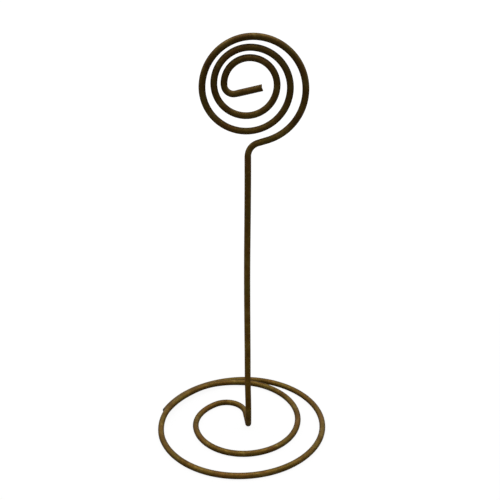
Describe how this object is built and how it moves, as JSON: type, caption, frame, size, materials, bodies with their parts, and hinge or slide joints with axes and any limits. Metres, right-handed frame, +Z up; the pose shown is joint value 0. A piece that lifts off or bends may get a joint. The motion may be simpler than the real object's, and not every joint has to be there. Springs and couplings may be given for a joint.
{
  "type": "table number holder",
  "caption": "Table number holder bent from one round wire: a spiral clip that grips a card, a plain stem and a flat spiral foot.",
  "frame": {"origin": "middle of the footprint's box, on the table", "axes": "+Z up along the stem; the spiral clip lies in a plane parallel to XZ and its card faces -Y; +X to the right as seen from the front"},
  "size_m": [0.0914, 0.0898, 0.2124],
  "materials": {
    "head_wire": "dark antique bronze finish on steel wire, semi-matt",
    "foot_wire": "antique bronze finish on steel wire, semi-matt, slightly lighter where it catches the light"
  },
  "bodies": {
    "root": {"stem": "head_wire", "neck_bend": "head_wire", "card_outer_turn": "head_wire", "card_middle_turn": "head_wire", "card_inner_turn": "head_wire", "card_stop": "head_wire", "foot_bend": "foot_wire", "base_hook": "foot_wire", "base_inner_loop": "foot_wire", "base_crossing": "foot_wire", "base_outer_ring": "foot_wire", "base_tucked_end": "foot_wire"}
  },
  "joints": []
}
